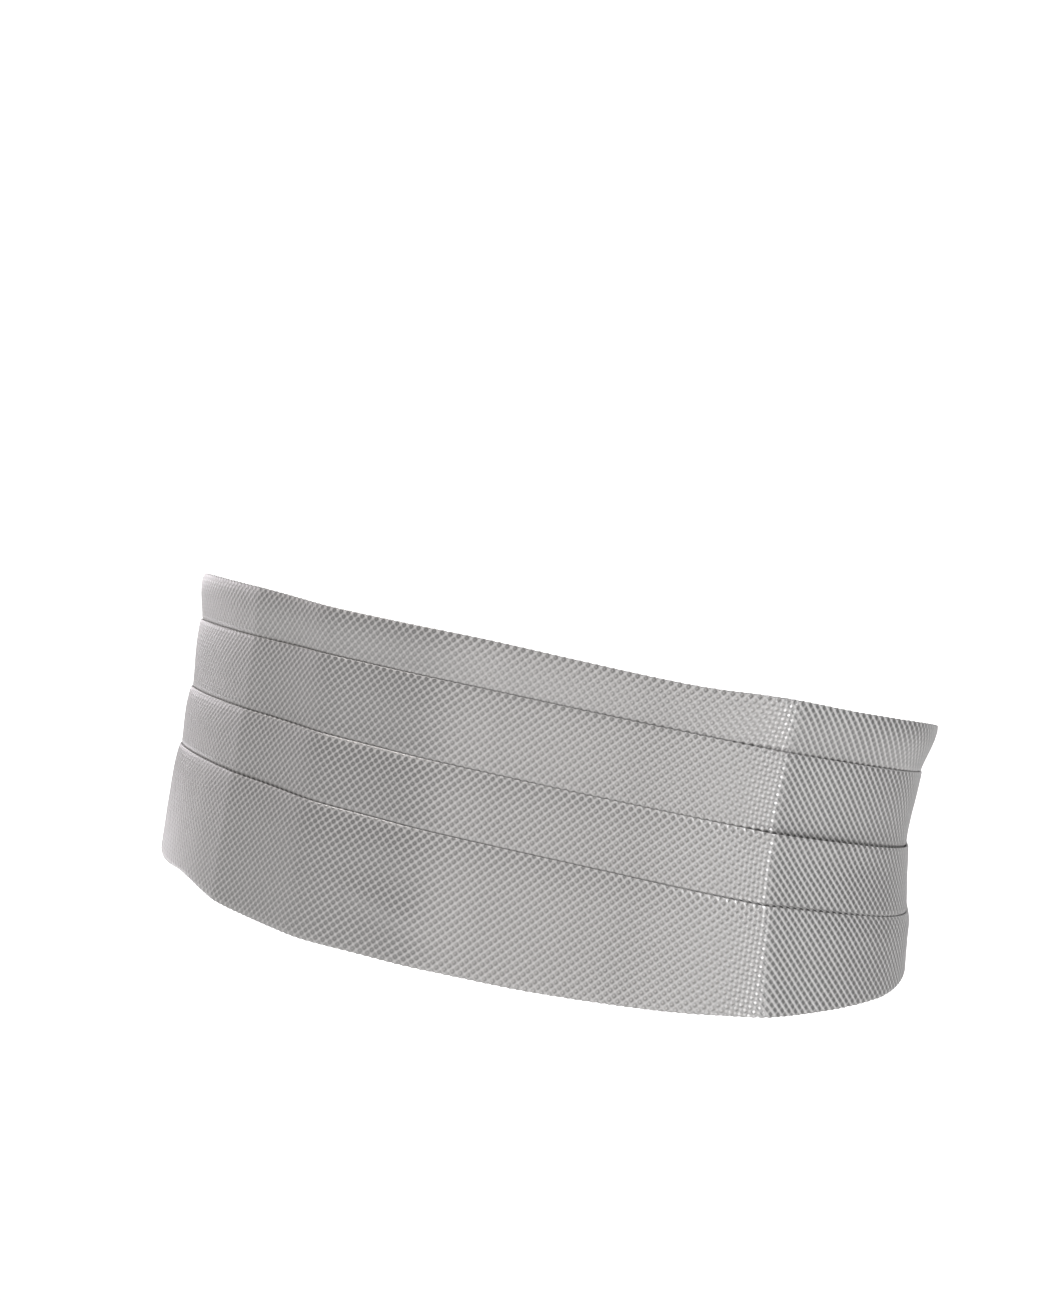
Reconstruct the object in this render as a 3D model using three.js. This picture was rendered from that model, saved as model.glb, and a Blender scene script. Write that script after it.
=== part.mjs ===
// A pleated formal waist sash, closed round the waist as it is worn.
// Millimetres. Up is +Z, the front of the panel faces -Y and the wearer's left side is +X.
// The origin is in the middle of the waist, at half the height of the panel.
import * as THREE from "three";

// The waist seen from above: a rounded oval with its long axis from side to side.
const waistHalfWidth = 147;
const waistHalfDepth = 104;
const waistRoundness = 2.26;

// How far the real waist stands out of (+) or in from (-) that oval, as a share of its half width.
// turn is the angle in degrees from the middle of the front towards the wearer's left.
const waistShape = [
  { turn: -180, swell: 0 },
  { turn: -155, swell: 0.002 },
  { turn: -130, swell: 0.01 },
  { turn: -105, swell: 0.008 },
  { turn: -92, swell: 0.001 },
  { turn: -80, swell: -0.009 },
  { turn: -70, swell: -0.012 },
  { turn: -57, swell: -0.021 },
  { turn: -42, swell: -0.031 },
  { turn: -26, swell: 0.004 },
  { turn: -8, swell: 0.021 },
  { turn: 8, swell: 0.002 },
  { turn: 20, swell: -0.005 },
  { turn: 30, swell: 0.001 },
  { turn: 38, swell: 0.016 },
  { turn: 44, swell: 0.027 },
  { turn: 50, swell: 0.034 },
  { turn: 57, swell: 0.035 },
  { turn: 64, swell: 0.038 },
  { turn: 72, swell: 0.036 },
  { turn: 80, swell: 0.026 },
  { turn: 90, swell: 0.003 },
  { turn: 110, swell: 0 },
  { turn: 180, swell: 0 },
];

// The cloth and its folding. Layers that touch keep a small gap.
const clothThickness = 1;
const layerGap = 0.3;
const panelHeight = 115;
const panelLength = 620;
const pleatDepth = 12;
const hemDepth = 10;
const foldClearance = 1.5;

// The height of each visible edge over the lower hem, as a share of the panel height, from the top.
const edgeLevels = [1, 0.856, 0.615, 0.408, 0];

// The lower edge rises towards the wearer's sides, and the upper one dips and rises a little.
// along is a share of half the panel length; upper and lower are rises as shares of its height.
const hemRise = [
  { along: -1, upper: 0, lower: 0.36 },
  { along: -0.72, upper: 0, lower: 0.22 },
  { along: -0.6, upper: -0.002, lower: 0.135 },
  { along: -0.5, upper: 0.016, lower: 0.021 },
  { along: -0.4, upper: 0.017, lower: 0.03 },
  { along: -0.3, upper: 0.015, lower: -0.01 },
  { along: -0.18, upper: 0.004, lower: -0.007 },
  { along: 0, upper: 0.003, lower: 0.012 },
  { along: 0.12, upper: -0.004, lower: 0.024 },
  { along: 0.25, upper: -0.006, lower: 0.057 },
  { along: 0.34, upper: 0.01, lower: 0.09 },
  { along: 0.42, upper: 0.011, lower: 0.117 },
  { along: 0.55, upper: 0.016, lower: 0.182 },
  { along: 0.68, upper: 0.009, lower: 0.26 },
  { along: 1, upper: 0, lower: 0.36 },
];

// Past the sides the whole panel narrows to its two ends, where the straps are sewn in.
const endHeight = 60;
const narrowingLength = 85;
const strapLevel = 12;

// The panel leans out towards its hems, most at the lower one, and its foot sways to the left side.
// level is a share of the panel height, lean and sway are shares of the hem flare.
const hemFlare = 6.2;
const flareShape = [
  { level: 0, lean: 0.74, sway: 1.05 },
  { level: 0.2, lean: 0.56, sway: 0.72 },
  { level: 0.408, lean: 0.25, sway: 0.39 },
  { level: 0.54, lean: -0.03, sway: 0.08 },
  { level: 0.7, lean: -0.16, sway: -0.14 },
  { level: 0.856, lean: -0.02, sway: -0.2 },
  { level: 1, lean: 0.35, sway: -0.18 },
];

// Upright folds that packing has pressed into the panel: one sharp ridge near the wearer's left
// side, and one soft bend with a shallow dent beside it towards the right side.
// top and foot are shares of half the panel length, rise is a share of the crease rise and
// reach a share of the crease reach. A sharp fold has a pointed crest, a soft one a round crest.
const creaseRise = 2.5;
const creaseReach = 14;
const creases = [
  { top: 0.343, foot: 0.353, rise: 1, reach: 1, sharp: true },
  { top: -0.182, foot: -0.156, rise: 0.45, reach: 0.75, sharp: false },
  { top: -0.108, foot: -0.074, rise: -0.45, reach: 0.9, sharp: false },
];

// The straps and the plate that joins them at the back.
const strapWidth = 32;
const strapThickness = 1;
const strapLap = 22;
const strapReturn = 25;
const claspLength = 46;
const claspHeight = 42;
const claspThickness = 2.5;
const claspBar = 4;
const claspSlot = 5;
const claspCorner = 4;
const slotCorner = 1.5;

// How finely the surfaces are divided.
const stationSpacing = 10;
const creaseSteps = [0.25, 0.6, 1.2];
const strapSpacing = 9;
const bendSteps = 3;
const halfDivisions = 720;

const degrees = Math.PI / 180;
const layerPitch = clothThickness + layerGap;
const halfPanel = panelLength / 2;
const lowerLevel = -panelHeight / 2;

// The value of one column of a table at x, on a smooth curve through its rows.
function readTable(table, key, column, x) {
  const last = table.length - 1;
  const first = table.findIndex((row) => row[key] >= x);
  if (first === 0) return table[0][column];
  if (first < 0) return table[last][column];
  const slope = (i) => {
    const a = table[Math.max(i - 1, 0)];
    const b = table[Math.min(i + 1, last)];
    return (b[column] - a[column]) / (b[key] - a[key]);
  };
  const a = table[first - 1];
  const b = table[first];
  const width = b[key] - a[key];
  const t = (x - a[key]) / width;
  const bend = t * t * (3 - 2 * t);
  return (
    a[column] * (1 - bend) +
    b[column] * bend +
    width * slope(first - 1) * t * (1 - t) * (1 - t) -
    width * slope(first) * t * t * (1 - t)
  );
}

function easeInOut(t) {
  const x = Math.min(Math.max(t, 0), 1);
  return x * x * (3 - 2 * x);
}

// The line of the innermost cloth layer round the waist, starting at the middle of the front.
class WaistCurve extends THREE.Curve {
  getPoint(t, target = new THREE.Vector3()) {
    const angle = 2 * Math.PI * t;
    const across = Math.abs(Math.sin(angle)) / waistHalfWidth;
    const ahead = Math.abs(Math.cos(angle)) / waistHalfDepth;
    const oval = (across ** waistRoundness + ahead ** waistRoundness) ** (-1 / waistRoundness);
    const turn = t > 0.5 ? 360 * (t - 1) : 360 * t;
    const reach = oval + waistHalfWidth * readTable(waistShape, "turn", "swell", turn);
    return target.set(reach * Math.sin(angle), -reach * Math.cos(angle), 0);
  }
}

const waist = new WaistCurve();
waist.arcLengthDivisions = 2 * halfDivisions;
const girth = waist.getLength();
const lengths = waist.getLengths();
const backMiddle = lengths[halfDivisions];

// The place and the outward direction at a distance round the waist from the middle of the front.
function stationAt(distance) {
  const share = (((distance / girth) % 1) + 1) % 1;
  const point = waist.getPointAt(share);
  const along = waist.getTangentAt(share);
  const out = new THREE.Vector3(along.y, -along.x, 0);
  return { point, out };
}

// How far the panel has narrowed towards an end, from 0 in front to 1 at the end itself.
function narrowingAt(distance) {
  return easeInOut((Math.abs(distance) - halfPanel + narrowingLength) / narrowingLength);
}

// A point of the panel on the row of a station, moved out by the layers, the flare and the creases.
function panelPoint(distance, station, layerOut, height) {
  const level = Math.min(Math.max((height - lowerLevel) / panelHeight, 0), 1);
  const flare = hemFlare * (1 - narrowingAt(distance));
  const lean = flare * readTable(flareShape, "level", "lean", level);
  const sway = flare * readTable(flareShape, "level", "sway", level);
  const reach = layerOut + lean + creaseAt(distance, height);
  const point = station.point.clone().addScaledVector(station.out, reach);
  return point.setX(point.x + sway).setZ(height);
}

function creaseAt(distance, height) {
  const level = (height - lowerLevel) / panelHeight;
  let total = 0;
  for (const { top, foot, rise, reach, sharp } of creases) {
    const crest = halfPanel * (foot + (top - foot) * level);
    const away = Math.abs(distance - crest) / (creaseReach * reach);
    total += creaseRise * rise * Math.exp(sharp ? -away : -away * away);
  }
  return total;
}

// The five visible edges of the panel at a distance from the middle of the front, top edge first.
function edgeHeights(distance) {
  const along = distance / halfPanel;
  const narrowing = narrowingAt(distance);
  const rises = edgeLevels.map(() => 0);
  rises[0] = panelHeight * readTable(hemRise, "along", "upper", along);
  rises[rises.length - 1] = panelHeight * readTable(hemRise, "along", "lower", along);
  return edgeLevels.map((level, i) => {
    const straight = lowerLevel + level * panelHeight + rises[i];
    const gathered = strapLevel + (level - 0.5) * endHeight;
    return straight + (gathered - straight) * narrowing;
  });
}

// The middle line of the folded cloth in section: rows of distance out and height, from the end of
// the top hem, over the top edge, down each band, in and out of each pleat, to the lower hem.
function foldedLine(edges) {
  const radius = layerPitch / 2;
  const scale = edges.slice(1).map((edge, i) => {
    const full = (edgeLevels[i] - edgeLevels[i + 1]) * panelHeight;
    return (edges[i] - edge) / full;
  });
  const rows = [];
  const topHem = hemDepth * scale[0];
  rows.push({ out: 0, height: edges[0] - topHem });
  rows.push({ out: 0, height: edges[0] - radius, turn: "over" });
  rows.push({ out: layerPitch, height: edges[0] - radius });
  rows.push({ out: layerPitch, height: edges[0] - topHem });
  for (let i = 1; i < edges.length - 1; i += 1) {
    const depth = pleatDepth * scale[i];
    const above = foldClearance * scale[i - 1];
    const foot = edges[i] - depth;
    rows.push({ out: 0, height: edges[i] + above });
    rows.push({ out: 0, height: foot + radius, turn: "under" });
    rows.push({ out: layerPitch, height: foot + radius });
    rows.push({ out: layerPitch, height: edges[i] - radius, turn: "over" });
    rows.push({ out: 2 * layerPitch, height: edges[i] - radius });
    rows.push({ out: 2 * layerPitch, height: foot - above });
  }
  const lowest = edges[edges.length - 1];
  const lowerHem = hemDepth * scale[scale.length - 1];
  rows.push({ out: layerPitch, height: lowest + lowerHem });
  rows.push({ out: layerPitch, height: lowest + radius, turn: "back" });
  rows.push({ out: 0, height: lowest + radius });
  rows.push({ out: 0, height: lowest + lowerHem });
  return rows;
}

// Both faces of the cloth along that line, as one closed outline of points (out, height).
// Each half turn is round on its outer side and square on its inner side.
function clothOutline(rows) {
  const half = clothThickness / 2;
  const radius = layerPitch / 2;
  const left = [];
  const right = [];
  rows.forEach((row, i) => {
    const before = rows[Math.max(i - 1, 0)];
    const after = rows[Math.min(i + 1, rows.length - 1)];
    const startsTurn = Boolean(row.turn);
    const endsTurn = i > 0 && Boolean(before.turn);
    let a = new THREE.Vector2(row.out - before.out, row.height - before.height);
    let b = new THREE.Vector2(after.out - row.out, after.height - row.height);
    if (startsTurn || i === rows.length - 1) b = a.clone();
    if (endsTurn || i === 0) a = b.clone();
    const side = a.normalize().add(b.normalize()).normalize();
    const offset = new THREE.Vector2(side.y, -side.x).multiplyScalar(half / side.dot(b));
    right.push(new THREE.Vector2(row.out + offset.x, row.height + offset.y));
    left.push(new THREE.Vector2(row.out - offset.x, row.height - offset.y));
    if (!startsTurn) return;
    const middle = (row.out + after.out) / 2;
    const start = row.out < after.out ? Math.PI : 0;
    const sweep = { over: -1, under: 1, back: -1 }[row.turn];
    for (let k = 1; k < bendSteps; k += 1) {
      const angle = start + (sweep * Math.PI * k) / bendSteps;
      const point = new THREE.Vector2(
        middle + (radius + half) * Math.cos(angle),
        row.height + (radius + half) * Math.sin(angle),
      );
      if (row.turn === "over") left.push(point);
      if (row.turn === "under") right.push(point);
      if (row.turn === "back") left.push(point);
    }
  });
  return [...right, ...left.reverse()];
}

// One closed skin from a list of rings of points, with a flat cap on each end.
function skinOver(rings, capOutline) {
  const count = rings[0].length;
  const position = rings.flat().flatMap((point) => point.toArray());
  const index = [];
  for (let j = 0; j + 1 < rings.length; j += 1) {
    for (let i = 0; i < count; i += 1) {
      const a = j * count + i;
      const b = j * count + ((i + 1) % count);
      index.push(a, b + count, b, a, a + count, b + count);
    }
  }
  const end = (rings.length - 1) * count;
  for (const [a, b, c] of THREE.ShapeUtils.triangulateShape(capOutline, [])) {
    index.push(a, b, c);
    index.push(end + a, end + c, end + b);
  }
  const geometry = new THREE.BufferGeometry();
  geometry.setAttribute("position", new THREE.Float32BufferAttribute(position, 3));
  geometry.setIndex(index);
  return geometry;
}

// Stations along the panel: evenly spaced, with a few more at each upright fold.
function panelStations() {
  const steps = Math.max(2, Math.round(panelLength / stationSpacing));
  const even = [];
  for (let i = 0; i <= steps; i += 1) even.push(-halfPanel + (panelLength * i) / steps);
  const close = creases.flatMap(({ top, foot, reach, sharp }) => {
    const crest = (halfPanel * (top + foot)) / 2;
    const aside = sharp ? creaseSteps : [];
    const both = [0, ...aside, ...aside.map((step) => -step)];
    return both.map((step) => crest + step * creaseReach * reach);
  });
  const inside = close.filter((d) => Math.abs(d) < halfPanel);
  const apart = even.filter((d, i) => {
    const isEnd = i === 0 || i === steps;
    return isEnd || inside.every((c) => Math.abs(c - d) > stationSpacing / 4);
  });
  return [...apart, ...inside].sort((a, b) => a - b);
}

function pleatedFront() {
  const rings = panelStations().map((distance) => {
    const station = stationAt(distance);
    const outline = clothOutline(foldedLine(edgeHeights(distance)));
    return outline.map(({ x, y }) => panelPoint(distance, station, x, y));
  });
  return skinOver(rings, clothOutline(foldedLine(edgeHeights(halfPanel))));
}

// A strap lies inside the end of the panel, runs round to the back, passes inside the bar of the
// clasp, turns out through the slot and lies back on itself.
const strapPitch = strapThickness + layerGap;
const strapOffset = -(clothThickness / 2 + layerGap + strapThickness / 2);
const barMiddle = claspLength / 2 - claspBar / 2;
const claspInnerFace = strapOffset + strapThickness / 2 + layerGap;

function strapLine(side) {
  const back = side > 0 ? backMiddle : backMiddle - girth;
  const start = side * (halfPanel - strapLap);
  const bar = back - side * barMiddle;
  const loopRise = claspThickness + 2 * layerGap + strapThickness;
  const loopRadius = loopRise / 2;
  const turnAt = bar + side * (claspBar / 2);
  const points = [];
  const place = (distance, out) => {
    const station = stationAt(distance);
    points.push(station.point.clone().addScaledVector(station.out, out));
  };
  const steps = Math.max(2, Math.round(Math.abs(turnAt - start) / strapSpacing));
  for (let i = 0; i <= steps; i += 1) place(start + ((turnAt - start) * i) / steps, strapOffset);
  for (let i = 1; i < 2 * bendSteps; i += 1) {
    const angle = (Math.PI * i) / (2 * bendSteps);
    const rise = loopRadius * (1 - Math.cos(angle));
    place(turnAt + side * loopRadius * Math.sin(angle), strapOffset + rise);
  }
  const leave = bar - side * (claspBar / 2);
  place(turnAt, strapOffset + loopRise);
  place(leave, strapOffset + loopRise);
  for (let i = 1; i <= 2 * bendSteps; i += 1) {
    const share = i / (2 * bendSteps);
    const settle = easeInOut(2 * share);
    const out = strapOffset + loopRise + (strapPitch - loopRise) * settle;
    place(leave - side * strapReturn * share, out);
  }
  return points;
}

// A flat strap along a line in plan, as wide as the strap, centred on the strap level.
function strap(side) {
  const line = strapLine(side).map((p) => new THREE.Vector2(p.x, p.y));
  const half = strapThickness / 2;
  const left = [];
  const right = [];
  line.forEach((point, i) => {
    const a = line[Math.max(i - 1, 0)];
    const b = line[Math.min(i + 1, line.length - 1)];
    const into = i > 0 ? point.clone().sub(a).normalize() : b.clone().sub(point).normalize();
    const from = i < line.length - 1 ? b.clone().sub(point).normalize() : into.clone();
    const way = into.clone().add(from).normalize();
    const offset = new THREE.Vector2(way.y, -way.x).multiplyScalar(half / way.dot(from));
    right.push(point.clone().add(offset));
    left.push(point.clone().sub(offset));
  });
  const shape = new THREE.Shape([...right, ...left.reverse()]);
  const geometry = new THREE.ExtrudeGeometry(shape, {
    depth: strapWidth,
    bevelEnabled: false,
    curveSegments: 1,
  });
  return geometry.translate(0, 0, strapLevel - strapWidth / 2);
}

// A rectangle with round corners, drawn on a path round a middle point.
function roundedRectangle(path, middle, width, height, corner) {
  const x = width / 2 - corner;
  const y = height / 2 - corner;
  const quarter = Math.PI / 2;
  path.absarc(middle + x, -y, corner, -quarter, 0);
  path.absarc(middle + x, y, corner, 0, quarter);
  path.absarc(middle - x, y, corner, quarter, 2 * quarter);
  path.absarc(middle - x, -y, corner, 2 * quarter, 3 * quarter);
  return path;
}

// The clasp: a flat plate with round corners and an upright slot near each end.
function clasp() {
  const shape = roundedRectangle(new THREE.Shape(), 0, claspLength, claspHeight, claspCorner);
  const slotMiddle = claspLength / 2 - claspBar - claspSlot / 2;
  const slotHeight = strapWidth + 2 * layerGap + 2 * slotCorner;
  for (const middle of [-slotMiddle, slotMiddle]) {
    shape.holes.push(roundedRectangle(new THREE.Path(), middle, claspSlot, slotHeight, slotCorner));
  }
  return new THREE.ExtrudeGeometry(shape, {
    depth: claspThickness,
    bevelEnabled: false,
    curveSegments: 6,
  });
}

function named(name, geometry, material) {
  const mesh = new THREE.Mesh(geometry, material);
  mesh.name = name;
  return mesh;
}

const silverCloth = () => new THREE.MeshStandardMaterial({ color: 0xa8a6a6, roughness: 0.45, metalness: 0 });
const strapCloth = () => new THREE.MeshStandardMaterial({ color: 0x9b9999, roughness: 0.6, metalness: 0 });
const claspMetal = new THREE.MeshStandardMaterial({ color: 0xb9babd, roughness: 0.35, metalness: 0.9 });

const group = new THREE.Group();
group.add(named("pleated_front", pleatedFront(), silverCloth()));
group.add(named("strap_left", strap(1), strapCloth()));
group.add(named("strap_right", strap(-1), strapCloth()));

// The plate stands upright across the back, with its bars just outside the straps.
const claspMesh = named("clasp", clasp(), claspMetal);
const backStation = stationAt(backMiddle);
const barStation = stationAt(backMiddle - barMiddle);
const sag = backStation.point.clone().sub(barStation.point).dot(backStation.out);
claspMesh.rotation.x = -Math.PI / 2;
claspMesh.position.copy(backStation.point);
claspMesh.position.addScaledVector(backStation.out, claspInnerFace - sag);
claspMesh.position.setZ(strapLevel);
group.add(claspMesh);

export default group;
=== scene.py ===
# %% [markdown]
# # A pleated silk waist sash
#
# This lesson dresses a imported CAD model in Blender. The object is a formal waist sash: one wide
# piece of silver silk laid in three upward pleats, two straps and a flat metal clasp at the back.
# The CAD model gives every size and place. Blender adds the cloth: its thin folded edges, its
# raised lattice weave, its creases and its sheen. A floor, lights and a camera show it.

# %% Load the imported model
import math

import bmesh
import bpy
import numpy as np
from mathutils import Matrix, Vector


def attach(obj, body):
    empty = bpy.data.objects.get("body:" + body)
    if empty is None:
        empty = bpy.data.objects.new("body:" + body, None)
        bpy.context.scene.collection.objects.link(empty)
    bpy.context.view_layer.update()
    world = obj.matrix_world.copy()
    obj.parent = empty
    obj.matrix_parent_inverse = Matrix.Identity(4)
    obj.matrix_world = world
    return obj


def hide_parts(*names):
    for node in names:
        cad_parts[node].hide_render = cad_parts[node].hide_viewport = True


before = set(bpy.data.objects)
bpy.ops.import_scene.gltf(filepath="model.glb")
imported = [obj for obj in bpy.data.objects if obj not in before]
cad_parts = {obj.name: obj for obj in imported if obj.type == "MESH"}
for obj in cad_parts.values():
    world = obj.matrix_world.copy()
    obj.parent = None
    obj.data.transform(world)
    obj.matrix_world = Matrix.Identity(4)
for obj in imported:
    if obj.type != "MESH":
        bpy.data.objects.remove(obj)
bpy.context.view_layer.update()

print("nodes", sorted(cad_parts))

# %% [markdown]
# ## The waist line
#
# A worn sash has no shape of its own: it takes the shape of the waist. So everything here is
# placed by two numbers, the distance round the waist from the middle of the front and the height.
# The waist is a rounded oval, and a short table says where the real one stands out of it or in
# from it. The sizes are millimetres, as on a pattern, and turn into metres at the very end.

# %% Sizes of the waist
MM = 0.001
HALF_WIDTH = 147.0
HALF_DEPTH = 104.0
ROUNDNESS = 2.26
# How far the waist stands out of the oval, by degrees from the front, as a share of HALF_WIDTH
WAIST_SWELL = [
    (-180, 0), (-155, 0.002), (-130, 0.01), (-105, 0.008), (-92, 0.001), (-80, -0.009),
    (-70, -0.012), (-57, -0.021), (-42, -0.031), (-26, 0.004), (-8, 0.021), (8, 0.002),
    (20, -0.005), (30, 0.001), (38, 0.016), (44, 0.027), (50, 0.034), (57, 0.035),
    (64, 0.038), (72, 0.036), (80, 0.026), (90, 0.003), (110, 0), (180, 0),
]


def read_table(table, x):
    """A smooth curve through rows of (place, value), read at one place or at many."""
    at, value = np.array(table, float).T
    slope = np.gradient(value)
    slope[1:-1] = (value[2:] - value[:-2]) / (at[2:] - at[:-2])
    slope[0] = (value[1] - value[0]) / (at[1] - at[0])
    slope[-1] = (value[-1] - value[-2]) / (at[-1] - at[-2])
    i = np.clip(np.searchsorted(at, x) - 1, 0, len(at) - 2)
    width = at[i + 1] - at[i]
    t = np.clip((x - at[i]) / width, 0, 1)
    bend = t * t * (3 - 2 * t)
    level = value[i] * (1 - bend) + value[i + 1] * bend
    return level + width * (slope[i] * t * (1 - t) ** 2 - slope[i + 1] * t * t * (1 - t))


def ease(t):
    """A share from 0 to 1 that starts and stops gently."""
    t = np.clip(t, 0, 1)
    return t * t * (3 - 2 * t)


# %% The closed line round the waist
LINE_POINTS = 2881
turn = np.linspace(0, 2 * np.pi, LINE_POINTS)
degrees = np.where(turn > np.pi, np.degrees(turn) - 360, np.degrees(turn))
oval = (
    np.abs(np.sin(turn) / HALF_WIDTH) ** ROUNDNESS + np.abs(np.cos(turn) / HALF_DEPTH) ** ROUNDNESS
) ** (-1 / ROUNDNESS)
reach = oval + HALF_WIDTH * read_table(WAIST_SWELL, degrees)
WAIST_X, WAIST_Y = reach * np.sin(turn), -reach * np.cos(turn)
WAIST_AT = np.concatenate([[0], np.cumsum(np.hypot(np.diff(WAIST_X), np.diff(WAIST_Y)))])
GIRTH = WAIST_AT[-1]


def waist(distance):
    """The place on the waist line at a distance from the middle of the front, and the way out."""

    def place(at):
        at = np.mod(at, GIRTH)
        return np.interp(at, WAIST_AT, WAIST_X), np.interp(at, WAIST_AT, WAIST_Y)

    x, y = place(distance)
    ahead, behind = place(distance + 0.5), place(distance - 0.5)
    along_x, along_y = ahead[0] - behind[0], ahead[1] - behind[1]
    length = np.hypot(along_x, along_y)
    return x, y, along_y / length, -along_x / length


print("girth of the waist", round(GIRTH, 1), "mm")

# %% [markdown]
# ## The pleated front
#
# The front is one flat piece of silk, 62 cm long and 21 cm wide before folding. Three pleats
# with their folds facing up and a turned hem above and below leave a panel 115 mm high. The
# real cloth keeps its length while it is folded, so it is modelled as a flat grid whose rows are
# laid along the folded section and whose columns stand round the waist. Each point keeps its own
# place on the flat cloth in the UV map, and the weave is drawn from that.

# %% Sizes of the panel, as in the CAD model
HALF_PANEL = 310.0
PANEL_HEIGHT = 115.0
# The top edge, the three folds and the lower edge, as shares of the height
EDGE_LEVELS = [1, 0.856, 0.615, 0.408, 0]
PLEAT_DEPTH = 12.0
HEM_DEPTH = 10.0
END_HEIGHT = 60.0
NARROWING = 85.0
STRAP_LEVEL = 12.0
LOWEST = -PANEL_HEIGHT / 2
# How far the two hems rise, by place along half the panel, as shares of the height
UPPER_RISE = [
    (-1, 0), (-0.72, 0), (-0.6, -0.002), (-0.5, 0.016), (-0.4, 0.017), (-0.3, 0.015),
    (-0.18, 0.004), (0, 0.003), (0.12, -0.004), (0.25, -0.006), (0.34, 0.01), (0.42, 0.011),
    (0.55, 0.016), (0.68, 0.009), (1, 0),
]
LOWER_RISE = [
    (-1, 0.36), (-0.72, 0.22), (-0.6, 0.135), (-0.5, 0.028), (-0.4, 0.025), (-0.3, -0.006),
    (-0.18, -0.007), (0, 0.012), (0.12, 0.024), (0.25, 0.057), (0.34, 0.09), (0.42, 0.117),
    (0.55, 0.182), (0.68, 0.26), (1, 0.36),
]
# How far the panel leans out and sways aside by level, as shares of HEM_FLARE
HEM_FLARE = 6.2
LEAN = [
    (0, 0.74), (0.2, 0.56), (0.408, 0.25), (0.54, -0.03), (0.7, -0.16), (0.856, -0.02), (1, 0.35),
]
SWAY = [
    (0, 1.05), (0.2, 0.72), (0.408, 0.39), (0.54, 0.08), (0.7, -0.14), (0.856, -0.2), (1, -0.18),
]
print("panel", 2 * HALF_PANEL, "mm long and", PANEL_HEIGHT, "mm high in front")


# %% The five edges that show
def narrowing(distance):
    """0 in front, and 1 at the two ends of the panel, where the straps are sewn in."""
    return ease((np.abs(distance) - HALF_PANEL + NARROWING) / NARROWING)


def edge_heights(distance):
    """The five edges that show: the top hem, the three folds and the lower hem."""
    along = distance / HALF_PANEL
    rises = [0 * along for _ in EDGE_LEVELS]
    rises[0] = PANEL_HEIGHT * read_table(UPPER_RISE, along)
    rises[-1] = PANEL_HEIGHT * read_table(LOWER_RISE, along)
    share = narrowing(distance)
    heights = []
    for level, rise in zip(EDGE_LEVELS, rises):
        straight = LOWEST + level * PANEL_HEIGHT + rise
        gathered = STRAP_LEVEL + (level - 0.5) * END_HEIGHT
        heights.append(straight + (gathered - straight) * share)
    return heights


print("edges in front", [round(float(edge), 1) for edge in edge_heights(np.array(0.0))], "mm")

# %% [markdown]
# Packing has left marks in the silk. A sharp upright ridge near the left end, as it is worn, and a
# soft bend on the other side run through all four bands. The ridge isn't quite straight, and it
# is pressed hard in the middle bands but rounds off towards the hems, so its crest and its
# roundness are read from tables by height. Each fold adds its own small hill to the distance
# that the cloth stands out.

# %% Upright folds and long wrinkles
# The ridge by level: its crest as a share of half the panel, and how round it is in mm
RIDGE_CREST = [
    (0, 0.37), (0.12, 0.36), (0.25, 0.353), (0.4, 0.349), (0.6, 0.353), (0.85, 0.351), (1, 0.341),
]
RIDGE_ROUND = [(0, 6.0), (0.15, 3.5), (0.3, 1.2), (0.85, 0.9), (1, 3.0)]
RIDGE_RISE, RIDGE_REACH = 3.0, 14.0
# The soft folds: crest at the top and at the foot (shares of half the panel), rise and reach in mm
SOFT_FOLDS = [(-0.182, -0.156, 1.1, 10.5), (-0.108, -0.074, -1.1, 12.6)]
# Stretches that were pressed flat in the box: from, to and depth in mm
PRESSED_FLAT = [(-160.0, -97.0, 2.8), (109.0, 163.0, 1.3)]
# Start and end as (distance, height) in mm, rise and reach across it in mm
WRINKLES = [
    ((-42.0, -33.0), (2.0, -44.0), 0.35, 3.5),
    ((-30.0, -20.0), (-6.0, -36.0), -0.25, 5.0),
]


def fold_relief(distance, height):
    """How far the pressed-in folds and wrinkles lift the cloth at a place on the panel."""
    level = (height - LOWEST) / PANEL_HEIGHT
    round_by = read_table(RIDGE_ROUND, level)
    away = np.hypot(distance - HALF_PANEL * read_table(RIDGE_CREST, level), round_by) - round_by
    total = RIDGE_RISE * np.exp(-away / RIDGE_REACH)
    for top, foot, rise, reach in SOFT_FOLDS:
        crest = HALF_PANEL * (foot + (top - foot) * level)
        total = total + rise * np.exp(-(((distance - crest) / reach) ** 2))
    for start, end, depth in PRESSED_FLAT:
        half, middle = (end - start) / 2, (start + end) / 2
        total = total - depth * np.clip(1 - ((distance - middle) / half) ** 2, 0, 1)
    for (x0, z0), (x1, z1), rise, reach in WRINKLES:
        length = math.hypot(x1 - x0, z1 - z0)
        ahead = ((distance - x0) * (x1 - x0) + (height - z0) * (z1 - z0)) / length**2
        aside = ((distance - x0) * (z1 - z0) - (height - z0) * (x1 - x0)) / length
        fade = ease(ahead * 3) * ease((1 - ahead) * 3)
        total = total + rise * fade * np.exp(-((aside / reach) ** 2))
    return total


def place_cloth(distance, out, height):
    """The point in space of cloth that lies at this distance, layer and height."""
    x, y, out_x, out_y = waist(distance)
    level = np.clip((height - LOWEST) / PANEL_HEIGHT, 0, 1)
    flare = HEM_FLARE * (1 - narrowing(distance))
    reach = out + flare * read_table(LEAN, level) + fold_relief(distance, height)
    sway = flare * read_table(SWAY, level)
    return np.stack([x + out_x * reach + sway, y + out_y * reach, height], axis=-1)


print("a ridge of", RIDGE_RISE, "mm,", len(SOFT_FOLDS), "soft folds,", len(WRINKLES), "wrinkles")

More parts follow.
